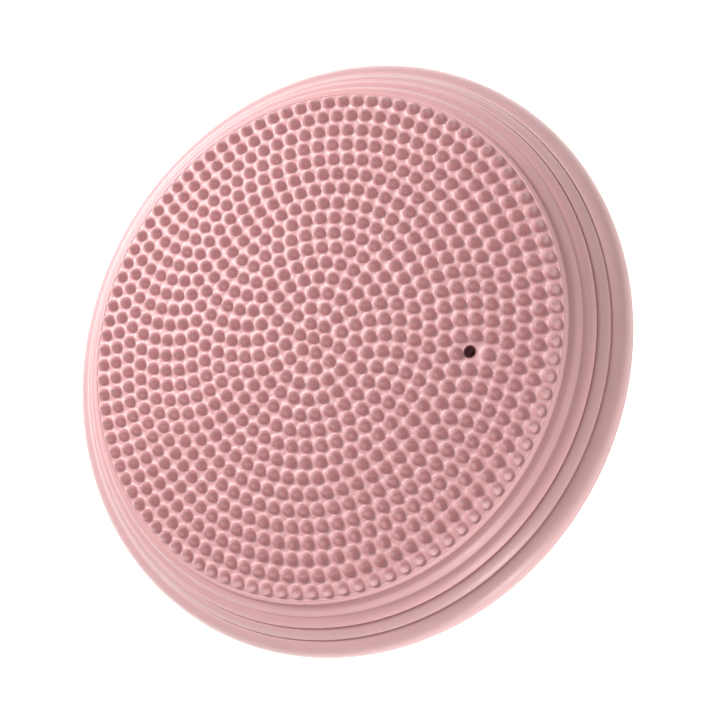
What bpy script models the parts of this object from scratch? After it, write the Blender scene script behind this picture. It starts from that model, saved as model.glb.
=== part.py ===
"""Inflatable wobble cushion: a hollow disc of soft PVC with a nubbed standing face.

The cushion lies on its underside. The origin is at the centre of the underside and +Z is up.
Lengths are in metres. The valve is on the +X side of the face.
"""

import math

import bmesh
import bpy
from mathutils import Matrix, Vector

# Overall sizes
OUTER_RADIUS = 0.170
TOTAL_HEIGHT = 0.045
WALL = 0.0030
GAP = 0.0003
TURN_STEPS = 64

# Standing face and its nubs
FACE_CORNER = 0.0012
FACE_DROP = 0.0034
FACE_DROP_RUN = 0.0011
FACE_ARC_POINTS = 2
NUB_HEIGHT = 0.0050
NUB_RADIUS = 0.0036
NUB_SIDES = 4
NUB_SINK = 0.0005
NUB_SPACING = 0.00138
NUBS_PER_STEP = 6
RING_TURN = math.radians(24.8)

# Stepped side of the upper half
SIDE_WIDTH = 0.0178
STEP_COUNT = 3
STEPS_ON_TOP_SKIN = 2
STEP_BULGE = 0.0013
STEP_ARC_POINTS = 4

# Rounded rim and underside
SEAM_HEIGHT = 0.013
ROLL_RADIUS = 0.0086
ROLL_ARC_POINTS = 7
INNER_ROLL_END = math.radians(60.0)
INNER_ROLL_POINTS = 3
LOWER_ROLL_RADIUS = 0.0100
LOWER_ARC_POINTS = 6
INNER_LOWER_START = math.radians(-80.0)
INNER_LOWER_POINTS = 4
FOOT_INSET = 0.036
FOOT_CORNER = 0.0010
LIP_WIDTH = 0.0010
LIP_RISE = 0.0006

# Needle valve in the face
VALVE_POSITION = 0.0930
VALVE_HOLE_RADIUS = 0.0035
VALVE_NUB_CLEARANCE = 0.0001
SEAT_FLANGE_RADIUS = 0.0110
SEAT_FLANGE_THICKNESS = 0.0015
SEAT_WALL = 0.0022
SEAT_LENGTH = 0.0120
SEAT_LIP = 0.0015
CORE_RADIUS = 0.0040
NECK_WALL = 0.0003
NECK_RECESS = 0.0004
CORE_FUNNEL_RADIUS = 0.0018
CORE_FUNNEL_DEPTH = 0.0020
CORE_NEEDLE_RADIUS = 0.0005
CORE_NEEDLE_DEPTH = 0.0060
VALVE_STEPS = 24

# Heights and radii that follow from the sizes above
FACE_HEIGHT = TOTAL_HEIGHT - NUB_HEIGHT
CEILING_HEIGHT = FACE_HEIGHT - WALL
FACE_RADIUS = OUTER_RADIUS - ROLL_RADIUS - SIDE_WIDTH - FACE_DROP_RUN
FACE_FLAT_RADIUS = FACE_RADIUS - FACE_CORNER
FOOT_RADIUS = OUTER_RADIUS - FOOT_INSET
NUB_PITCH = 2.0 * NUB_RADIUS + NUB_SPACING
NUB_RINGS = int((FACE_FLAT_RADIUS - NUB_RADIUS) / NUB_PITCH)
STEPS_TOP = Vector((FACE_RADIUS + FACE_DROP_RUN, FACE_HEIGHT - FACE_DROP))
STEPS_FOOT = Vector((OUTER_RADIUS - ROLL_RADIUS, SEAM_HEIGHT + ROLL_RADIUS))
STEP_VECTOR = (STEPS_FOOT - STEPS_TOP) / STEP_COUNT
SLOPE_NORMAL = Vector((-STEP_VECTOR.y, STEP_VECTOR.x)).normalized()
SPLIT_POINT = STEPS_TOP + STEP_VECTOR * STEPS_ON_TOP_SKIN
VALVE_RING = round(VALVE_POSITION / NUB_PITCH)
VALVE_CLEAR_RADIUS = VALVE_HOLE_RADIUS + NUB_RADIUS + VALVE_NUB_CLEARANCE
BORE_RADIUS = CORE_RADIUS + GAP
SEAT_TOP = CEILING_HEIGHT - GAP
CORE_TOP = SEAT_TOP
NECK_TOP = FACE_HEIGHT - NECK_RECESS
NECK_RADIUS = VALVE_HOLE_RADIUS - GAP
NECK_INNER_RADIUS = NECK_RADIUS - NECK_WALL
CORE_BOTTOM = SEAT_TOP - SEAT_LENGTH + SEAT_LIP + GAP


def clear_scene():
    """Remove every object that the file opened with."""
    for thing in list(bpy.data.objects):
        bpy.data.objects.remove(thing, do_unlink=True)


def new_collection(name):
    """Add a collection to the scene."""
    collection = bpy.data.collections.new(name)
    bpy.context.scene.collection.children.link(collection)
    return collection


def new_material(name, colour, roughness):
    """Make a Principled material of a plain, non-metallic colour."""
    material = bpy.data.materials.new(name)
    material.use_nodes = True
    shader = material.node_tree.nodes["Principled BSDF"]
    shader.inputs["Base Color"].default_value = (*colour, 1.0)
    shader.inputs["Roughness"].default_value = roughness
    shader.inputs["Metallic"].default_value = 0.0
    return material


def add_object(name, mesh, collection, material=None):
    """Put a mesh in the scene as a named object."""
    thing = bpy.data.objects.new(name, mesh)
    collection.objects.link(thing)
    if material is not None:
        mesh.materials.append(material)
    return thing


def arc_points(centre, radius, start, end, count):
    """Points along an arc in the radius-height plane, both ends included; angles in radians."""
    points = []
    for index in range(count + 1):
        angle = start + (end - start) * index / count
        points.append(Vector((centre[0] + radius * math.cos(angle), centre[1] + radius * math.sin(angle))))
    return points


def step_points(first, last):
    """Outer points of the bulging steps first to last, from the top one down, without the first groove."""
    points = []
    for step in range(first, last):
        groove = STEPS_TOP + STEP_VECTOR * step
        for index in range(1, STEP_ARC_POINTS + 1):
            share = index / STEP_ARC_POINTS
            bulge = STEP_BULGE * 4.0 * share * (1.0 - share)
            points.append(groove + STEP_VECTOR * share + SLOPE_NORMAL * bulge)
    return points


def fill_open_rims(mesh):
    """Close the flat circular openings of a turned mesh with one face each."""
    model = bmesh.new()
    model.from_mesh(mesh)
    bmesh.ops.holes_fill(model, edges=model.edges, sides=0)
    bmesh.ops.recalc_face_normals(model, faces=model.faces)
    model.to_mesh(mesh)
    model.free()


def turned(name, profile, collection, material, steps=TURN_STEPS, closed=True, centre=(0.0, 0.0)):
    """Turn a profile of (radius, height) points about a vertical axis through centre.

    An open profile starts and ends at the edge of a flat round face, and both faces are filled in.
    """
    mesh = bpy.data.meshes.new(name)
    points = [(point[0], 0.0, point[1]) for point in profile]
    edges = [(index, index + 1) for index in range(len(points) - 1)]
    if closed:
        edges.append((len(points) - 1, 0))
    mesh.from_pydata(points, edges, [])
    thing = add_object(name, mesh, collection, material)
    screw = thing.modifiers.new("Turn", "SCREW")
    screw.steps = steps
    screw.render_steps = steps
    screw.use_merge_vertices = True
    screw.merge_threshold = 0.00001
    if not closed:
        bake_modifiers(thing)
        fill_open_rims(thing.data)
    thing.location = (centre[0], centre[1], 0.0)
    return thing


def bake_modifiers(thing):
    """Replace an object's mesh by what its modifiers make of it."""
    bpy.context.view_layer.update()
    graph = bpy.context.evaluated_depsgraph_get()
    baked = bpy.data.meshes.new_from_object(thing.evaluated_get(graph))
    thing.modifiers.clear()
    thing.data = baked


def shade_round(thing, degrees=40.0):
    """Shade an object smooth, with sharp edges where it turns by more than the angle."""
    bake_modifiers(thing)
    thing.data.shade_smooth()
    thing.data.set_sharp_from_angle(angle=math.radians(degrees))


def nub_positions():
    """Centres of the nubs: one in the middle, then rings of six more each, clear of the valve.

    Each ring is turned against the next, and the valve takes the place of a nub in its own ring.
    """
    valve = Vector((VALVE_POSITION, 0.0))
    positions = [Vector((0.0, 0.0))]
    for ring in range(1, NUB_RINGS + 1):
        count = NUBS_PER_STEP * ring
        for index in range(count):
            angle = RING_TURN * (ring - VALVE_RING) + math.tau * index / count
            spot = Vector((math.cos(angle), math.sin(angle))) * NUB_PITCH * ring
            if (spot - valve).length > VALVE_CLEAR_RADIUS:
                positions.append(spot)
    return positions


def nub_field(collection):
    """All the nubs as one object of separate pointed bodies, sunk a little into the face."""
    model = bmesh.new()
    height = NUB_HEIGHT + NUB_SINK
    middle = FACE_HEIGHT - NUB_SINK + height / 2.0
    base = NUB_RADIUS * height / NUB_HEIGHT
    for spot in nub_positions():
        turn = Matrix.Rotation(math.atan2(spot.y, spot.x), 4, "Z")
        bmesh.ops.create_cone(
            model,
            cap_ends=True,
            segments=NUB_SIDES,
            radius1=base,
            radius2=0.0,
            depth=height,
            matrix=Matrix.Translation((spot.x, spot.y, middle)) @ turn,
        )
    mesh = bpy.data.meshes.new("nub_field")
    model.to_mesh(mesh)
    model.free()
    thing = add_object("nub_field", mesh, collection)
    as_cutter(thing)
    return thing


def as_cutter(thing):
    """Keep a shape that only cuts or joins others out of the finished model."""
    thing.hide_render = True
    thing.display_type = "WIRE"


def combine(thing, other, operation):
    """Cut or join an object with another one, exactly."""
    modifier = thing.modifiers.new(operation.title(), "BOOLEAN")
    modifier.operation = operation
    modifier.solver = "EXACT"
    modifier.object = other


def valve_hole_cutter(collection):
    """The round hole through the face for the pump needle."""
    bottom = CEILING_HEIGHT - WALL
    top = FACE_HEIGHT + NUB_HEIGHT
    profile = [(0.0, top), (VALVE_HOLE_RADIUS, top), (VALVE_HOLE_RADIUS, bottom), (0.0, bottom)]
    thing = turned("valve_hole", profile, collection, None, VALVE_STEPS, centre=(VALVE_POSITION, 0.0))
    as_cutter(thing)
    return thing


def make_top_skin(collection, cutters, material):
    """The standing face with its nubs and the upper steps of the side."""
    inward = SLOPE_NORMAL * WALL
    corner = (FACE_FLAT_RADIUS, FACE_HEIGHT - FACE_CORNER)
    face_edge = arc_points(corner, FACE_CORNER, math.radians(90.0), 0.0, FACE_ARC_POINTS)
    outer = face_edge + [STEPS_TOP] + step_points(0, STEPS_ON_TOP_SKIN)
    inner_foot = SPLIT_POINT - inward
    inner_top = Vector((STEPS_TOP.x - inward.x - FACE_DROP_RUN, CEILING_HEIGHT))
    thing = turned("top_skin", outer + [inner_foot, inner_top], collection, material, closed=False)
    combine(thing, nub_field(cutters), "UNION")
    combine(thing, valve_hole_cutter(cutters), "DIFFERENCE")
    shade_round(thing)
    return thing


def make_rim_ring(collection, material):
    """The lowest step and the smooth roll of the rim, down to the seam."""
    inward = SLOPE_NORMAL * WALL
    below = SPLIT_POINT + STEP_VECTOR.normalized() * GAP
    steps = step_points(STEPS_ON_TOP_SKIN, STEP_COUNT)
    roll_centre = (STEPS_FOOT.x, SEAM_HEIGHT)
    roll = arc_points(roll_centre, ROLL_RADIUS, math.radians(90.0), 0.0, ROLL_ARC_POINTS)[1:]
    inner_roll = arc_points(roll_centre, ROLL_RADIUS - WALL, 0.0, INNER_ROLL_END, INNER_ROLL_POINTS)
    outer = [below] + steps + roll
    thing = turned("rim_ring", outer + inner_roll + [below - inward], collection, material)
    shade_round(thing)
    return thing


def make_bottom_skin(collection, material):
    """The underside as a shallow pan: a flat foot and floor, and the lower half of the rim.

    The profile starts at the edge of the floor inside, goes up to the seam and comes down the
    outside to the edge of the foot, so that the floor and the foot are the faces filled in.
    """
    seam = SEAM_HEIGHT - GAP
    centre = (OUTER_RADIUS - LOWER_ROLL_RADIUS, seam)
    floor_edge = Vector((FOOT_RADIUS, WALL))
    inner = arc_points(centre, LOWER_ROLL_RADIUS - WALL, INNER_LOWER_START, 0.0, INNER_LOWER_POINTS)
    outer = arc_points(centre, LOWER_ROLL_RADIUS, 0.0, math.radians(-90.0), LOWER_ARC_POINTS)
    lip = outer[-1] + Vector((-LIP_WIDTH, LIP_RISE))
    foot = [Vector((FOOT_RADIUS + FOOT_CORNER, FOOT_CORNER)), Vector((FOOT_RADIUS, 0.0))]
    profile = [floor_edge] + inner + outer + [lip] + foot
    thing = turned("bottom_skin", profile, collection, material, closed=False)
    shade_round(thing)
    return thing


def make_valve_seat(collection, material):
    """The collar under the face that grips the rubber core."""
    outside = BORE_RADIUS + SEAT_WALL
    bottom = SEAT_TOP - SEAT_LENGTH
    profile = [
        (BORE_RADIUS, SEAT_TOP),
        (SEAT_FLANGE_RADIUS, SEAT_TOP),
        (SEAT_FLANGE_RADIUS, SEAT_TOP - SEAT_FLANGE_THICKNESS),
        (outside, SEAT_TOP - SEAT_FLANGE_THICKNESS),
        (outside, bottom),
        (BORE_RADIUS - SEAT_LIP, bottom),
        (BORE_RADIUS - SEAT_LIP, bottom + SEAT_LIP),
        (BORE_RADIUS, bottom + SEAT_LIP),
    ]
    thing = turned("valve_seat", profile, collection, material, VALVE_STEPS, centre=(VALVE_POSITION, 0.0))
    shade_round(thing)
    return thing


def make_valve_core(collection, material):
    """The dark rubber plug: a thin neck that lines the hole, over a self-closing needle guide."""
    profile = [
        (CORE_FUNNEL_RADIUS, CORE_TOP),
        (NECK_INNER_RADIUS, CORE_TOP),
        (NECK_INNER_RADIUS, NECK_TOP),
        (NECK_RADIUS, NECK_TOP),
        (NECK_RADIUS, CORE_TOP),
        (CORE_RADIUS, CORE_TOP),
        (CORE_RADIUS, CORE_BOTTOM),
        (0.0, CORE_BOTTOM),
        (0.0, CORE_TOP - CORE_NEEDLE_DEPTH),
        (CORE_NEEDLE_RADIUS, CORE_TOP - CORE_NEEDLE_DEPTH),
        (CORE_NEEDLE_RADIUS, CORE_TOP - CORE_FUNNEL_DEPTH),
    ]
    thing = turned("valve_core", profile, collection, material, VALVE_STEPS, centre=(VALVE_POSITION, 0.0))
    shade_round(thing)
    return thing


def main():
    """Build the cushion."""
    clear_scene()
    parts = new_collection("wobble_cushion")
    cutters = new_collection("cutters")
    pink_pvc = new_material("moulded_pink_pvc", (0.73, 0.40, 0.42), 0.42)
    rim_pvc = new_material("smooth_pink_pvc", (0.72, 0.41, 0.42), 0.35)
    under_pvc = new_material("underside_pink_pvc", (0.70, 0.39, 0.41), 0.45)
    seat_pvc = new_material("welded_pvc_collar", (0.74, 0.46, 0.47), 0.45)
    rubber = new_material("dark_valve_rubber", (0.05, 0.018, 0.02), 0.55)
    make_top_skin(parts, cutters, pink_pvc)
    make_rim_ring(parts, rim_pvc)
    make_bottom_skin(parts, under_pvc)
    make_valve_seat(parts, seat_pvc)
    make_valve_core(parts, rubber)


main()
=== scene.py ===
"""Finished looks of an air-filled wobble cushion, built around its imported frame.

The cushion is a hollow disc of soft pink PVC. Its standing face carries rings of pointed nubs, its
side goes down in three bulging steps to a smooth rounded rim, and a needle valve sits in the face.
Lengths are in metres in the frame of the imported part: the underside rests on z = 0 and +Z is up.
"""

import logging
import math
from dataclasses import dataclass
from enum import Enum

import bmesh
import bpy
from mathutils import Matrix, Vector
from mathutils.geometry import delaunay_2d_cdt


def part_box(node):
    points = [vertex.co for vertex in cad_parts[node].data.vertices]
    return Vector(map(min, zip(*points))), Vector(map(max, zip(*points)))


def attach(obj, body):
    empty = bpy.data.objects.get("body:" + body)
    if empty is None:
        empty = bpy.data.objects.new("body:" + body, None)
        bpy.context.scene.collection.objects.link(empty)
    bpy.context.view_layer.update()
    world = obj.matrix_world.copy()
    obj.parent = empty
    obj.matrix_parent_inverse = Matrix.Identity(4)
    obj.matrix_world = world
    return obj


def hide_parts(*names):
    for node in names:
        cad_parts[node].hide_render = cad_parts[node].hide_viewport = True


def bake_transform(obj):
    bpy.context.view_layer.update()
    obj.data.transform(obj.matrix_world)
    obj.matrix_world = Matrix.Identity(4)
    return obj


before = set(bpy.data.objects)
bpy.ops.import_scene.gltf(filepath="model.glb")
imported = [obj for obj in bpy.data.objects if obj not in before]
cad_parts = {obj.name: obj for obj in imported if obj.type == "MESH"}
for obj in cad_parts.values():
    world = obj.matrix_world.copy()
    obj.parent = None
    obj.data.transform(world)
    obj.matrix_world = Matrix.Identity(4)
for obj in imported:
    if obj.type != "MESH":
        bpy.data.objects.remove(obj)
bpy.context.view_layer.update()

LOG = logging.getLogger("wobble_cushion")

MM = 0.001
SHARP_ANGLE = math.radians(50.0)
WELD_TOLERANCE = 1e-7
NECK_CLEARANCE = 0.00006

# Sockets of a colour mix node, which shares its socket names with its other data types
MIX_A = 6
MIX_B = 7
MIX_RESULT = 2


class MouldSurface(Enum):
    """How the mould was finished where a skin was formed; the value is the grain depth in mm."""

    ETCHED = 0.030
    SATIN = 0.014


def linear_colour(hex_code: str) -> tuple[float, float, float, float]:
    """Turn an sRGB hex colour into a linear one.

    Args:
        hex_code: Colour such as "#e2b0b6".

    Returns:
        Linear red, green and blue, and an alpha of one.
    """
    channels = [int(hex_code[start:start + 2], 16) / 255.0 for start in (1, 3, 5)]
    linear = [c / 12.92 if c <= 0.04045 else ((c + 0.055) / 1.055) ** 2.4 for c in channels]
    return (linear[0], linear[1], linear[2], 1.0)


def add_node(tree: bpy.types.NodeTree, kind: str, settings: dict | None = None,
             inputs: dict | None = None) -> bpy.types.Node:
    """Add a node with its settings, its socket values and its links.

    Args:
        tree: Node tree that the node goes in.
        kind: Type name of the node.
        settings: Properties of the node by name.
        inputs: Value or source socket for each input, by the input's name or number.

    Returns:
        The new node.
    """
    node = tree.nodes.new(kind)
    for name, value in (settings or {}).items():
        setattr(node, name, value)
    for name, value in (inputs or {}).items():
        if isinstance(value, bpy.types.NodeSocket):
            tree.links.new(value, node.inputs[name])
        else:
            node.inputs[name].default_value = value
    return node


def add_noise(tree: bpy.types.NodeTree, place: bpy.types.NodeSocket, size_mm: float, detail: float,
              fade: float = 0.5) -> bpy.types.NodeSocket:
    """Add a cloudy pattern.

    Args:
        tree: Node tree that the pattern goes in.
        place: Socket with the place on the piece.
        size_mm: Size of the clouds in millimetres.
        detail: Number of finer layers laid over the clouds.
        fade: How strong each finer layer is next to the one before.

    Returns:
        The socket with the pattern's strength.
    """
    noise = add_node(tree, "ShaderNodeTexNoise", inputs={
        "Vector": place, "Scale": 1.0 / (size_mm * MM), "Detail": detail, "Roughness": fade})
    return noise.outputs["Fac"]


def add_tint(tree: bpy.types.NodeTree, share: bpy.types.NodeSocket, first: str,
             second: str) -> bpy.types.NodeSocket:
    """Add a mix of two colours.

    Args:
        tree: Node tree that the mix goes in.
        share: Socket with the share of the second colour.
        first: First colour as sRGB hex.
        second: Second colour as sRGB hex.

    Returns:
        The socket with the mixed colour.
    """
    mix = add_node(tree, "ShaderNodeMix", {"data_type": "RGBA"}, {
        "Factor": share, MIX_A: linear_colour(first), MIX_B: linear_colour(second)})
    return mix.outputs[MIX_RESULT]


def new_material(name: str) -> tuple[bpy.types.Material, bpy.types.NodeTree, bpy.types.Node]:
    """Make an empty material with an output node and a Principled shader.

    Args:
        name: Name of the material.

    Returns:
        The material, its node tree and its shader.
    """
    material = bpy.data.materials.new(name)
    material.use_nodes = True
    tree = material.node_tree
    tree.nodes.clear()
    shader = add_node(tree, "ShaderNodeBsdfPrincipled")
    add_node(tree, "ShaderNodeOutputMaterial", inputs={"Surface": shader.outputs["BSDF"]})
    return material, tree, shader


@dataclass(frozen=True)
class MouldedSoftPvc:
    """Plasticised PVC, rotationally moulded: a satin skin with a faint grain from the mould.

    The eye reads it as soft and slightly see-through at thin places, with broad pale highlights.
    """

    name: str
    colour: str
    deep_colour: str
    mould: MouldSurface
    roughness: float = 0.42
    roughness_spread: float = 0.07
    ior: float = 1.54
    mottle_mm: float = 26.0
    mottle_detail: float = 3.0
    mottle_fade: float = 0.55
    grain_mm: float = 0.8
    grain_detail: float = 2.0
    grain_fade: float = 0.6
    flow_mm: float = 7.0
    flow_detail: float = 1.0
    flow_depth_mm: float = 0.05
    glow_weight: float = 0.16
    glow_mm: float = 1.1
    glow_reach: tuple[float, float, float] = (1.0, 0.60, 0.56)
    bloom_weight: float = 0.10
    bloom_roughness: float = 0.45

    def build(self) -> bpy.types.Material:
        """Build the material.

        Returns:
            The material, with the pigment's mottling, the mould's grain and the gloss variation.
        """
        material, tree, shader = new_material(self.name)
        place = add_node(tree, "ShaderNodeTexCoord").outputs["Object"]
        # Pigment streaks a few centimetres wide, left as the paste flows round the mould.
        mottle = add_noise(tree, place, self.mottle_mm, self.mottle_detail, self.mottle_fade)
        pigment = add_tint(tree, mottle, self.colour, self.deep_colour)
        tree.links.new(pigment, shader.inputs["Base Color"])
        # A mould's own grain is too fine to show, so it is drawn as coarse as grain_mm.
        grain = add_noise(tree, place, self.grain_mm, self.grain_detail, self.grain_fade)
        flow = add_noise(tree, place, self.flow_mm, self.flow_detail)
        dull = add_node(tree, "ShaderNodeMapRange", inputs={
            "Value": flow,
            "To Min": self.roughness - self.roughness_spread,
            "To Max": self.roughness + self.roughness_spread})
        tree.links.new(dull.outputs["Result"], shader.inputs["Roughness"])
        waves = add_node(tree, "ShaderNodeBump", inputs={
            "Height": flow, "Distance": self.flow_depth_mm * MM, "Strength": 1.0})
        fine = add_node(tree, "ShaderNodeBump", inputs={
            "Height": grain, "Distance": self.mould.value * MM, "Strength": 1.0,
            "Normal": waves.outputs["Normal"]})
        tree.links.new(fine.outputs["Normal"], shader.inputs["Normal"])
        shader.inputs["IOR"].default_value = self.ior
        shader.inputs["Subsurface Weight"].default_value = self.glow_weight
        shader.inputs["Subsurface Radius"].default_value = self.glow_reach
        shader.inputs["Subsurface Scale"].default_value = self.glow_mm * MM
        # Plasticiser that comes to the surface pales the skin where it is seen edge on.
        shader.inputs["Sheen Weight"].default_value = self.bloom_weight
        shader.inputs["Sheen Roughness"].default_value = self.bloom_roughness
        return material


@dataclass(frozen=True)
class MouldedRubber:
    """Dark vulcanised rubber, pressed in a mould: dull, with dust-fine specks of lighter filler."""

    name: str = "moulded_dark_valve_rubber"
    colour: str = "#6e4046"
    speck_colour: str = "#825158"
    roughness: float = 0.55
    ior: float = 1.52
    speck_mm: float = 0.35
    speck_detail: float = 2.0
    grain_depth_mm: float = 0.02

    def build(self) -> bpy.types.Material:
        """Build the material.

        Returns:
            The material, with its specks and its fine grain.
        """
        material, tree, shader = new_material(self.name)
        place = add_node(tree, "ShaderNodeTexCoord").outputs["Object"]
        speck = add_noise(tree, place, self.speck_mm, self.speck_detail)
        tint = add_tint(tree, speck, self.colour, self.speck_colour)
        tree.links.new(tint, shader.inputs["Base Color"])
        fine = add_node(tree, "ShaderNodeBump", inputs={
            "Height": speck, "Distance": self.grain_depth_mm * MM, "Strength": 1.0})
        tree.links.new(fine.outputs["Normal"], shader.inputs["Normal"])
        shader.inputs["Roughness"].default_value = self.roughness
        shader.inputs["IOR"].default_value = self.ior
        return material


@dataclass(frozen=True)
class OpalAcrylic:
    """Opal white acrylic sheet lit from below: the eye reads an even glow and a faint shadow."""

    name: str = "cast_opal_white_acrylic"
    colour: str = "#fbfbf7"
    roughness: float = 0.8
    glow: float = 0.75

    def build(self) -> bpy.types.Material:
        """Build the material.

        Returns:
            The material, which glows evenly.
        """
        material, _, shader = new_material(self.name)
        shader.inputs["Base Color"].default_value = linear_colour(self.colour)
        shader.inputs["Roughness"].default_value = self.roughness
        shader.inputs["Emission Color"].default_value = linear_colour(self.colour)
        shader.inputs["Emission Strength"].default_value = self.glow
        return material


FACE_PVC = MouldedSoftPvc("moulded_nubbed_face_pvc", "#dfacaf", "#d8a3a7", MouldSurface.ETCHED)
RIM_PVC = MouldedSoftPvc("moulded_smooth_rim_pvc", "#dbaeb1", "#d4a6a9", MouldSurface.SATIN,
                         roughness=0.36, bloom_weight=0.30)
UNDERSIDE_PVC = MouldedSoftPvc("moulded_underside_pvc", "#d9aaad", "#d2a1a5", MouldSurface.ETCHED,
                               roughness=0.48)
COLLAR_PVC = MouldedSoftPvc("welded_collar_pvc", "#e0b6b8", "#d8acae", MouldSurface.SATIN)
VALVE_RUBBER = MouldedRubber()


class Skin:
    """Collects the points and faces of one closed body and makes a mesh object of them."""

    def __init__(self, name: str) -> None:
        """Start an empty body.

        Args:
            name: Name that the body's object will have.
        """
        self.name = name
        self.points: list[tuple[float, float, float]] = []
        self.faces: list[tuple[int, ...]] = []

    def point(self, x: float, y: float, z: float) -> int:
        """Add one point and return its number."""
        self.points.append((x, y, z))
        return len(self.points) - 1

    def ring(self, radius: float, height: float, count: int,
             centre: tuple[float, float] = (0.0, 0.0)) -> list[int]:
        """Add a level ring of points.

        Args:
            radius: Radius of the ring.
            height: Height of the ring.
            count: Number of points.
            centre: Centre of the ring, seen from above.

        Returns:
            The numbers of the points, in order round the ring.
        """
        turns = [math.tau * index / count for index in range(count)]
        return [self.point(centre[0] + radius * math.cos(turn),
                           centre[1] + radius * math.sin(turn), height) for turn in turns]

    def bridge(self, first: list[int], second: list[int]) -> None:
        """Join two rings of the same number of points by a band of faces.

        Args:
            first: Ring that the band starts from.
            second: Ring that it ends at.
        """
        count = len(first)
        for index in range(count):
            after = (index + 1) % count
            self.faces.append((first[index], first[after], second[after], second[index]))

    def turn(self, profile: list[Vector], count: int, centre: tuple[float, float] = (0.0, 0.0),
             start: list[int] | None = None) -> list[int]:
        """Turn a profile about an upright axis.

        Args:
            profile: Points of (radius, height), in order.
            count: Number of steps round the axis.
            centre: Place of the axis, seen from above.
            start: Ring that the profile goes on from, if there is one.

        Returns:
            The last ring.
        """
        last = start
        for spot in profile:
            ring = self.ring(spot[0], spot[1], count, centre)
            if last is not None:
                self.bridge(last, ring)
            last = ring
        return last

    def close(self, ring: list[int], tip: int) -> None:
        """Close a ring with a fan of faces to one point."""
        for index, spot in enumerate(ring):
            self.faces.append((spot, ring[(index + 1) % len(ring)], tip))

    def fill(self, outer: list[int], holes: list[list[int]]) -> None:
        """Fill the level area inside a ring, leaving round holes open.

        Args:
            outer: Ring round the whole area.
            holes: Rings inside it that stay open.
        """
        rings = [outer] + holes
        numbers = [spot for ring in rings for spot in ring]
        owners = [owner for owner, ring in enumerate(rings) for _ in ring]
        edges = []
        begin = 0
        for ring in rings:
            size = len(ring)
            edges += [(begin + index, begin + (index + 1) % size) for index in range(size)]
            begin += size
        flat = [Vector(self.points[spot][:2]) for spot in numbers]
        _, _, found, sources, _, _ = delaunay_2d_cdt(flat, edges, [], 0, WELD_TOLERANCE)
        for face in found:
            corners = [sources[corner][0] for corner in face]
            touched = {owners[corner] for corner in corners}
            if len(touched) > 1 or touched == {0}:
                self.faces.append(tuple(numbers[corner] for corner in corners))

    def finish(self, material: bpy.types.Material) -> bpy.types.Object:
        """Make the mesh object, with its faces outwards and shaded smooth.

        Args:
            material: Material of the whole body.

        Returns:
            The object, linked to the scene.
        """
        mesh = bpy.data.meshes.new(self.name)
        mesh.from_pydata(self.points, [], self.faces)
        model = bmesh.new()
        model.from_mesh(mesh)
        bmesh.ops.recalc_face_normals(model, faces=model.faces)
        model.to_mesh(mesh)
        model.free()
        mesh.materials.append(material)
        mesh.shade_smooth()
        mesh.set_sharp_from_angle(angle=SHARP_ANGLE)
        piece = bpy.data.objects.new(self.name, mesh)
        bpy.context.scene.collection.objects.link(piece)
        return piece


def arc(centre: tuple[float, float], radius: float, start: float, end: float,
        count: int) -> list[Vector]:
    """Points along an arc of a turned profile.

    Args:
        centre: Centre as (radius, height).
        radius: Radius of the arc.
        start: First angle in degrees, from the outward direction.
        end: Last angle in degrees.
        count: Number of steps along the arc.

    Returns:
        The points, both ends included.
    """
    turns = [math.radians(start + (end - start) * index / count) for index in range(count + 1)]
    return [Vector((centre[0] + radius * math.cos(turn), centre[1] + radius * math.sin(turn)))
            for turn in turns]


def line(start: Vector, end: Vector, count: int) -> list[Vector]:
    """Points along a straight part of a profile, so that it can bend there.

    Args:
        start: First point.
        end: Last point.
        count: Number of steps.

    Returns:
        The points, both ends included.
    """
    return [start.lerp(end, index / count) for index in range(count + 1)]


@dataclass(frozen=True)
class Bulge:
    """Section of one step of the side: fullest place, height, roundness and lower groove."""

    peak: float
    height: float
    roundness: float
    groove: float = 0.0

    def rise(self, share: float) -> float:
        """Find how far the step stands out, down to the bottom of its groove.

        Args:
            share: Place across the step, as a share of its width from the top.

        Returns:
            The height above the straight slope.
        """
        if share >= 1.0:
            return -self.groove
        way = share / self.peak if share < self.peak else (1.0 - share) / (1.0 - self.peak)
        return self.height * (1.0 - (1.0 - way) ** self.roundness)


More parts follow.
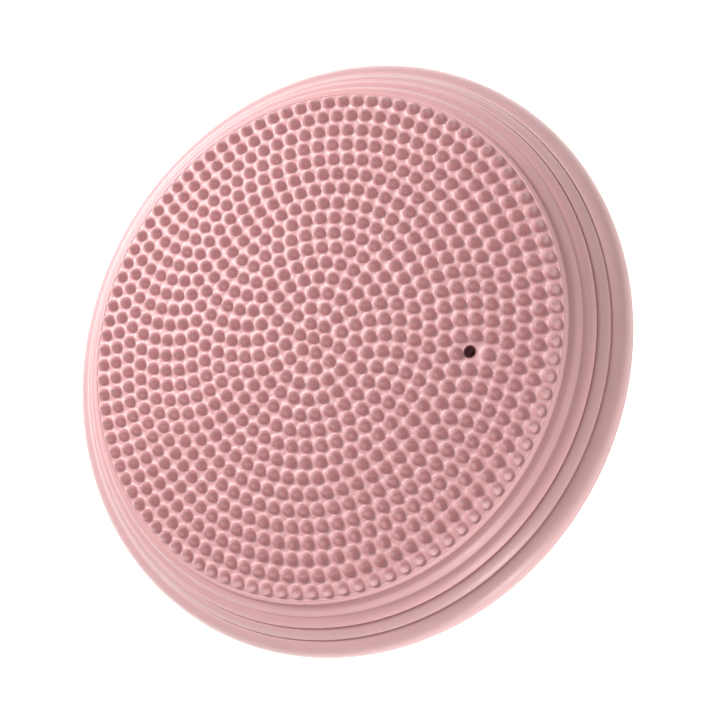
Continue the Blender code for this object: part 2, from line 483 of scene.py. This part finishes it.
@dataclass
class Side:
    """Section of the cushion's side, from the edge of the face down to the mould seam.
    """

    outer_radius: float
    face_height: float
    seam_height: float
    side_width: float = 0.0178
    roll_radius: float = 0.0086
    corner: float = 0.0012
    drop: float = 0.0034
    drop_run: float = 0.0011
    wall: float = 0.0030
    seam_gap: float = 0.00012
    tilt_start: float = 0.0009
    tilt_end: float = 0.0241
    bead_height: float = 0.00035
    steps_on_face: int = 2
    steps: tuple[Bulge, ...] = (
        Bulge(0.40, 0.0011, 1.5),
        Bulge(0.45, 0.0011, 2.0, 0.0006),
        Bulge(0.50, 0.0009, 2.4, 0.0006),
    )
    step_points: int = 12
    turn_steps: int = 192

    @property
    def face_radius(self) -> float:
        """Radius at which the standing face ends."""
        return self.outer_radius - self.roll_radius - self.side_width - self.drop_run

    @property
    def flat_radius(self) -> float:
        """Radius of the level part of the standing face."""
        return self.face_radius - self.corner

    @property
    def top(self) -> Vector:
        """Foot of the drop at the face's edge, where the first step starts."""
        return Vector((self.face_radius + self.drop_run, self.face_height - self.drop))

    @property
    def foot(self) -> Vector:
        """Groove between the last step and the smooth roll."""
        return Vector((self.outer_radius - self.roll_radius, self.seam_height + self.roll_radius))

    @property
    def step(self) -> Vector:
        """Way from one groove to the next."""
        return (self.foot - self.top) / len(self.steps)

    @property
    def normal(self) -> Vector:
        """Direction square to the stepped slope, outwards."""
        return Vector((-self.step.y, self.step.x)).normalized()

    @property
    def split(self) -> Vector:
        """Groove at which the face's skin ends and the rim begins."""
        return self.top + self.step * self.steps_on_face

    def bend_with_tilt(self, piece: bpy.types.Object) -> None:
        """Bake a piece's placement into its mesh."""
        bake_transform(piece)

    def step_line(self, first: int, last: int) -> list[Vector]:
        """Outer points of the steps from first up to last, without the first groove.

        Args:
            first: Number of the first step, from the top.
            last: Number of the step to stop before.

        Returns:
            The points, from the top down.
        """
        spots = []
        for number in range(first, last):
            groove = self.top + self.step * number
            for index in range(1, self.step_points + 1):
                share = index / self.step_points
                rise = self.steps[number].rise(share)
                spots.append(groove + self.step * share + self.normal * rise)
        return spots


@dataclass
class Nub:
    """Pointed nub of the standing face: an ogive between a cone and a dome, with a small fillet."""

    height: float = 0.0050
    radius: float = 0.0036
    fillet: float = 0.00030
    fullness: float = 0.52
    levels: int = 6
    sides: int = 12

    @property
    def base(self) -> float:
        """Radius of the ring where the fillet meets the face."""
        return self.radius + self.fillet

    def width(self, share: float) -> float:
        """Radius of the nub at a share of its height."""
        dome = math.sqrt(1.0 - share * share)
        return self.radius * (self.fullness * dome + (1.0 - self.fullness) * (1.0 - share))

    def raise_on(self, skin: Skin, base: list[int], spot: tuple[float, float],
                 level: float) -> None:
        """Build the nub on its base ring.

        Args:
            skin: Body that the nub belongs to.
            base: Ring on the face.
            spot: Centre of the nub.
            level: Height of the face.
        """
        last = base
        first_share = self.fillet / self.height
        for index in range(self.levels + 1):
            # Levels crowd towards the tip, where the nub turns most.
            way = index / (self.levels + 1)
            share = first_share + (1.0 - first_share) * math.sin(way * math.pi / 2.0)
            ring = skin.ring(self.width(share), level + self.height * share, self.sides, spot)
            skin.bridge(last, ring)
            last = ring
        skin.close(last, skin.point(spot[0], spot[1], level + self.height))


@dataclass
class StandingFace:
    """The nubbed face with the upper two steps of the side and the lip of the valve hole.
    """

    side: Side
    nub: Nub
    valve_x: float
    nub_spacing: float = 0.00138
    nubs_per_step: int = 6
    ring_turn: float = math.radians(24.8)
    hole_radius: float = 0.0035
    lip_radius: float = 0.0002
    lip_height: float = 0.00025
    lip_clearance: float = 0.00003
    hole_steps: int = 48
    inner_points: int = 8
    bead_points: int = 8
    drop_points: int = 3
    lip_points: int = 6
    bore_points: int = 4
    press_start: float = 0.0260
    press_end: float = 0.0390

    def nub_spots(self) -> list[Vector]:
        """Centres of the nubs: one in the middle and rings of six more each.

        The valve takes the place of the nub whose foot it would cover the middle of, and a nub that
        would touch its lip stands a little further off.

        Returns:
            The centres, seen from above.
        """
        pitch = 2.0 * self.nub.radius + self.nub_spacing
        rings = int((self.side.flat_radius - self.nub.radius) / pitch)
        valve = Vector((self.valve_x, 0.0))
        valve_ring = round(self.valve_x / pitch)
        room = self.hole_radius + 2.0 * self.lip_radius + self.nub.base + self.lip_clearance
        spots = [Vector((0.0, 0.0))]
        for ring in range(1, rings + 1):
            count = self.nubs_per_step * ring
            for index in range(count):
                turn = self.ring_turn * (ring - valve_ring) + math.tau * index / count
                spot = Vector((math.cos(turn), math.sin(turn))) * pitch * ring
                away = spot - valve
                if away.length > self.nub.radius:
                    spots.append(valve + away.normalized() * max(away.length, room))
        return spots

    def outer_line(self) -> list[Vector]:
        """Find the outside of the profile, from the edge of the level face down to the split.

        Returns:
            The points, from the top down.
        """
        side = self.side
        half = side.corner / 2.0
        bead = [Vector((side.flat_radius + half * (1.0 + spot.x),
                        side.face_height + side.bead_height * spot.y))
                for spot in arc((0.0, 0.0), 1.0, 180.0, 0.0, self.bead_points)]
        drop = line(bead[-1], side.top, self.drop_points)[1:]
        return bead[1:] + drop + side.step_line(0, side.steps_on_face)

    def build(self) -> bpy.types.Object:
        """Build the standing face.

        Returns:
            The finished piece.
        """
        side = self.side
        level = side.face_height
        ceiling = level - side.wall
        skin = Skin("nubbed_standing_face")
        edge = skin.ring(side.flat_radius, level, side.turn_steps)
        bases = []
        for spot in self.nub_spots():
            base = skin.ring(self.nub.base, level, self.nub.sides, spot)
            self.nub.raise_on(skin, base, spot, level)
            bases.append(base)
        valve = (self.valve_x, 0.0)
        lip_edge = self.hole_radius + 2.0 * self.lip_radius
        lip_start = skin.ring(lip_edge, level, self.hole_steps, valve)
        skin.fill(edge, [lip_start] + bases)
        lip_centre = self.hole_radius + self.lip_radius
        turns = [math.pi * index / self.lip_points for index in range(1, self.lip_points + 1)]
        lip = [Vector((lip_centre + self.lip_radius * math.cos(turn),
                       level + self.lip_height * math.sin(turn))) for turn in turns]
        bore = line(Vector((self.hole_radius, level)), Vector((self.hole_radius, ceiling)),
                    self.bore_points)[1:]
        hole_end = skin.turn(lip + bore, self.hole_steps, valve, lip_start)
        outside_end = skin.turn(self.outer_line(), side.turn_steps, start=edge)
        inward = side.normal * side.wall
        inner_top = Vector((side.top.x - inward.x - side.drop_run, ceiling))
        inner = line(side.split - inward, inner_top, self.inner_points)
        ceiling_edge = skin.turn(inner, side.turn_steps, start=outside_end)
        skin.fill(ceiling_edge, [hole_end])
        piece = skin.finish(FACE_PVC.build())
        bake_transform(piece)
        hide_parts("top_skin")
        return piece


@dataclass
class RimRing:
    """The lowest step and the smooth roll of the rim, down to the mould seam."""

    side: Side
    roll_end: float = 4.0
    roll_points: int = 20
    inner_turn: float = 50.0
    inner_points: int = 6
    seam_ease: float = 0.00025

    def build(self) -> bpy.types.Object:
        """Build the rim.

        Returns:
            The finished piece.
        """
        side = self.side
        groove = side.steps[side.steps_on_face - 1].groove
        top = side.split + side.step.normalized() * side.seam_gap - side.normal * groove
        seam = side.seam_height + side.seam_gap
        centre = (side.foot.x, side.seam_height)
        roll = arc(centre, side.roll_radius, 90.0, self.roll_end, self.roll_points)[1:]
        ease = [Vector((side.outer_radius - self.seam_ease, seam))]
        inward = side.normal * side.wall
        inner_roll = arc(centre, side.roll_radius - side.wall, 0.0, self.inner_turn,
                         self.inner_points)
        inner_roll[0].y = seam
        inner_end = top + side.normal * groove - inward
        inner_top = line(inner_roll[-1], inner_end, self.inner_points)[1:]
        steps = side.step_line(side.steps_on_face, len(side.steps))
        profile = steps + roll + ease + inner_roll + inner_top
        skin = Skin("smooth_rim_roll")
        first = skin.ring(top.x, top.y, side.turn_steps)
        last = skin.turn(profile, side.turn_steps, start=first)
        skin.bridge(last, first)
        piece = skin.finish(RIM_PVC.build())
        side.bend_with_tilt(piece)
        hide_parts("rim_ring")
        return piece


@dataclass
class Underside:
    """The lower half: a rounded rim, a moulded lip and a foot with rings of low grip pads."""

    side: Side
    roll_radius: float = 0.0100
    foot_inset: float = 0.036
    foot_corner: float = 0.0010
    lip_width: float = 0.0010
    lip_rise: float = 0.0006
    pad_height: float = 0.0009
    pad_radius: float = 0.0027
    pad_pitch: float = 0.0120
    pads_per_step: int = 6
    pad_sides: int = 14
    crown_points: int = 4
    slope_points: int = 6
    roll_end: float = -4.0
    roll_points: int = 20
    inner_turn: float = -80.0
    inner_points: int = 8
    seam_ease: float = 0.00025

    def add_pads(self, skin: Skin, foot_radius: float, level: float) -> list[list[int]]:
        """Add the low grip pads on which the cushion rests.

        Args:
            skin: Body that the pads belong to.
            foot_radius: Radius of the foot.
            level: Height of the foot between the pads.

        Returns:
            The base ring of each pad.
        """
        bases = []
        flat = self.pad_radius - self.pad_height
        crown = arc((flat, 0.0), self.pad_height, 0.0, 90.0, self.crown_points)[1:]
        dome = [Vector((point.x, level - point.y)) for point in crown]
        rings = int((foot_radius - 2.0 * self.pad_radius) / self.pad_pitch)
        for ring in range(1, rings + 1):
            count = self.pads_per_step * ring
            for index in range(count):
                turn = math.tau * (index + 0.5 * (ring % 2)) / count
                spot = (self.pad_pitch * ring * math.cos(turn),
                        self.pad_pitch * ring * math.sin(turn))
                base = skin.ring(self.pad_radius, level, self.pad_sides, spot)
                last = skin.turn(dome, self.pad_sides, spot, base)
                skin.close(last, skin.point(spot[0], spot[1], 0.0))
                bases.append(base)
        return bases

    def build(self) -> bpy.types.Object:
        """Build the underside.

        Returns:
            The finished piece.
        """
        side = self.side
        seam = side.seam_height - side.seam_gap
        centre = (side.outer_radius - self.roll_radius, side.seam_height)
        foot_radius = side.outer_radius - self.foot_inset
        level = self.pad_height
        skin = Skin("gripping_underside")
        foot = skin.ring(foot_radius, level, side.turn_steps)
        skin.fill(foot, self.add_pads(skin, foot_radius, level))
        roll = arc(centre, self.roll_radius, -90.0, self.roll_end, self.roll_points)
        lip = roll[0] + Vector((-self.lip_width, self.lip_rise))
        shoulder = Vector((foot_radius + self.foot_corner, level + self.foot_corner))
        ease = Vector((side.outer_radius - self.seam_ease, seam))
        outside = line(shoulder, lip, self.slope_points) + roll + [ease]
        inner = arc(centre, self.roll_radius - side.wall, 0.0, self.inner_turn, self.inner_points)
        inner[0].y = seam
        floor = Vector((foot_radius, level + side.wall))
        last = skin.turn(outside + inner + [floor], side.turn_steps, start=foot)
        skin.fill(last, [])
        piece = skin.finish(UNDERSIDE_PVC.build())
        side.bend_with_tilt(piece)
        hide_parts("bottom_skin")
        return piece


@dataclass
class NeedleValve:
    """The collar under the face and the self-sealing rubber core that it grips."""

    valve_x: float
    top: float
    neck_top: float
    neck_radius: float
    core_radius: float
    core_bottom: float
    collar_bottom: float
    flange_radius: float
    gap: float = 0.0003
    collar_wall: float = 0.0022
    flange_thickness: float = 0.0015
    collar_lip: float = 0.0015
    ease: float = 0.0003
    neck_wall: float = 0.00055
    neck_ease: float = 0.00015
    funnel_radius: float = 0.0018
    funnel_depth: float = 0.0020
    needle_radius: float = 0.0005
    needle_depth: float = 0.0060
    funnel_bend: tuple[tuple[float, float], ...] = ((0.45, 0.7), (0.8, 0.3))
    edge_points: int = 3
    core_edge_points: int = 4
    steps: int = 64

    def build_collar(self) -> bpy.types.Object:
        """Build the collar that is welded under the face.

        Returns:
            The finished collar, which rides with the pressed face.
        """
        ease = self.ease
        points = self.edge_points
        bore = self.core_radius + self.gap
        outside = bore + self.collar_wall
        under = self.top - self.flange_thickness
        profile = arc((bore + ease, self.top - ease), ease, 180.0, 90.0, points)
        profile += arc((self.flange_radius - ease, self.top - ease), ease, 90.0, 0.0, points)
        profile += arc((self.flange_radius - ease, under + ease), ease, 0.0, -90.0, points)
        profile += arc((outside + ease, under - ease), ease, 90.0, 180.0, points)
        profile += arc((outside - ease, self.collar_bottom + ease), ease, 0.0, -90.0, points)
        inner = bore - self.collar_lip
        profile += [Vector((inner, self.collar_bottom))]
        profile += [Vector((inner, self.collar_bottom + self.collar_lip))]
        profile += [Vector((bore, self.collar_bottom + self.collar_lip))]
        skin = Skin("welded_valve_collar")
        place = (self.valve_x, 0.0)
        first = skin.ring(profile[0].x, profile[0].y, self.steps, place)
        skin.bridge(skin.turn(profile[1:], self.steps, place, first), first)
        piece = skin.finish(COLLAR_PVC.build())
        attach(piece, "deck")
        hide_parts("valve_seat")
        return piece

    def build_core(self) -> bpy.types.Object:
        """Build the rubber core with its neck, its funnel and its needle guide.

        Returns:
            The finished core, which rides with the pressed face.
        """
        ease = self.ease
        points = self.core_edge_points
        radius = self.core_radius
        place = (self.valve_x, 0.0)
        profile = [
            Vector((self.needle_radius, self.top - self.needle_depth)),
            Vector((self.needle_radius, self.top - self.funnel_depth)),
        ]
        profile += [Vector((width * self.funnel_radius, self.top - depth * self.funnel_depth))
                    for width, depth in self.funnel_bend]
        profile += [
            Vector((self.funnel_radius, self.top - ease)),
            Vector((self.funnel_radius + ease, self.top)),
            Vector((self.neck_radius - self.neck_wall, self.top)),
        ]
        neck_edge = self.neck_top - self.neck_ease
        bore_edge = (self.neck_radius - self.neck_wall + self.neck_ease, neck_edge)
        rim = (self.neck_radius - self.neck_ease, neck_edge)
        profile += arc(bore_edge, self.neck_ease, 180.0, 90.0, self.edge_points)
        profile += arc(rim, self.neck_ease, 90.0, 0.0, self.edge_points)
        profile += [Vector((self.neck_radius, self.top))]
        profile += arc((radius - ease, self.top - ease), ease, 90.0, 0.0, points)
        profile += arc((radius - ease, self.core_bottom + ease), ease, 0.0, -90.0, points)
        skin = Skin("rubber_valve_core")
        first = skin.ring(profile[0].x, profile[0].y, self.steps, place)
        last = skin.turn(profile[1:], self.steps, place, first)
        skin.close(first, skin.point(self.valve_x, 0.0, profile[0].y))
        skin.close(last, skin.point(self.valve_x, 0.0, self.core_bottom))
        piece = skin.finish(VALVE_RUBBER.build())
        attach(piece, "deck")
        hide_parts("valve_core")
        return piece

    def build(self) -> list[bpy.types.Object]:
        """Build the collar and the core and return them."""
        return [self.build_collar(), self.build_core()]


@dataclass(frozen=True)
class Lamp:
    """A round soft light that faces the middle of the cushion."""

    name: str
    azimuth: float
    elevation: float
    distance: float
    size: float
    power: float


@dataclass
class Studio:
    """A glowing floor, a main light, a low fill on the far side, a white surround and a camera."""

    aim: tuple[float, float, float] = (0.0325, -0.0103, 0.0425)
    azimuth: float = -19.97
    elevation: float = 61.18
    distance: float = 0.7408
    roll: float = 61.93
    lens: float = 69.66
    sensor: float = 36.0
    floor_size: float = 6.0
    lamps: tuple[Lamp, ...] = (
        Lamp("soft_box", azimuth=155.0, elevation=45.0, distance=1.0, size=0.26, power=8.6),
        Lamp("low_fill_card", azimuth=-50.0, elevation=9.0, distance=0.6, size=0.18, power=0.9),
    )
    surround: float = 0.46
    surround_colour: str = "#fffdfa"
    floor_drop: float = 0.0002

    @staticmethod
    def direction(azimuth: float, elevation: float) -> Vector:
        """Find the direction of a light or of the camera.

        Args:
            azimuth: Angle from +X, in degrees.
            elevation: Angle above the floor, in degrees.

        Returns:
            The unit vector from the cushion's middle.
        """
        turn, lift = math.radians(azimuth), math.radians(elevation)
        return Vector((math.cos(lift) * math.cos(turn), math.cos(lift) * math.sin(turn),
                       math.sin(lift)))

    def add_camera(self) -> None:
        """Add the camera at the viewing angle, turned about its own axis."""
        back = self.direction(self.azimuth, self.elevation)
        level_up = (Vector((0.0, 0.0, 1.0)) - back * back.z).normalized()
        level_right = level_up.cross(back)
        turn = math.radians(self.roll)
        up = level_up * math.cos(turn) + level_right * math.sin(turn)
        right = up.cross(back)
        data = bpy.data.cameras.new("studio_camera")
        data.lens = self.lens
        data.sensor_width = self.sensor
        camera = bpy.data.objects.new("studio_camera", data)
        place = Vector(self.aim) + back * self.distance
        axes = Matrix((right, up, back)).transposed().to_4x4()
        camera.matrix_world = Matrix.Translation(place) @ axes
        bpy.context.scene.collection.objects.link(camera)
        bpy.context.scene.camera = camera

    def add_lamp(self, lamp: Lamp) -> None:
        """Add one of the lights.

        Args:
            lamp: Place, size and power of the light.
        """
        data = bpy.data.lights.new(lamp.name, "AREA")
        data.shape = "DISK"
        data.size = lamp.size
        data.energy = lamp.power
        box = bpy.data.objects.new(lamp.name, data)
        away = self.direction(lamp.azimuth, lamp.elevation)
        box.location = away * lamp.distance
        box.rotation_euler = away.to_track_quat("Z", "Y").to_euler()
        bpy.context.scene.collection.objects.link(box)

    def add_surround(self) -> None:
        """Light the scene evenly from all round with white."""
        world = bpy.data.worlds.new("white_surround")
        world.use_nodes = True
        background = world.node_tree.nodes["Background"]
        background.inputs["Color"].default_value = linear_colour(self.surround_colour)
        background.inputs["Strength"].default_value = self.surround
        bpy.context.scene.world = world

    def add_floor(self) -> None:
        """Lay the floor just under the cushion."""
        model = bmesh.new()
        bmesh.ops.create_grid(model, x_segments=1, y_segments=1, size=self.floor_size / 2.0)
        mesh = bpy.data.meshes.new("studio_floor")
        model.to_mesh(mesh)
        model.free()
        mesh.materials.append(OpalAcrylic().build())
        floor = bpy.data.objects.new("studio_floor", mesh)
        floor.location.z = -self.floor_drop
        bpy.context.scene.collection.objects.link(floor)

    def build(self) -> None:
        """Set up the whole studio with plain colour rendering."""
        bpy.context.scene.view_settings.view_transform = "Standard"
        self.add_camera()
        for lamp in self.lamps:
            self.add_lamp(lamp)
        self.add_surround()
        self.add_floor()


def report(piece: bpy.types.Object) -> None:
    """Log a piece's name, its size in millimetres and its number of faces."""
    size = ", ".join(f"{value / MM:.1f}" for value in piece.dimensions)
    LOG.info("%s: %s mm, %d faces", piece.name, size, len(piece.data.polygons))


def main() -> None:
    """Build the studio and every piece of the cushion, and log each piece."""
    logging.basicConfig(level=logging.INFO, format="%(name)s %(message)s")
    Studio().build()
    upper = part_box("top_skin")
    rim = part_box("rim_ring")
    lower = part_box("bottom_skin")
    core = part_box("valve_core")
    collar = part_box("valve_seat")
    valve_x = (core[0][0] + core[1][0]) / 2.0
    nub = Nub()
    side = Side(
        outer_radius=rim[1][0],
        face_height=upper[1][2] - nub.height,
        seam_height=(lower[1][2] + rim[0][2]) / 2.0,
    )
    face = StandingFace(side, nub, valve_x)
    pieces = [
        face.build(),
        RimRing(side).build(),
        Underside(side).build(),
    ]
    pieces += NeedleValve(
        valve_x=valve_x,
        top=collar[1][2],
        neck_top=core[1][2],
        neck_radius=face.hole_radius - NECK_CLEARANCE,
        core_radius=(core[1][0] - core[0][0]) / 2.0,
        core_bottom=core[0][2],
        collar_bottom=collar[0][2],
        flange_radius=(collar[1][0] - collar[0][0]) / 2.0,
    ).build()
    for piece in pieces:
        report(piece)


if __name__ == "__main__":
    main()
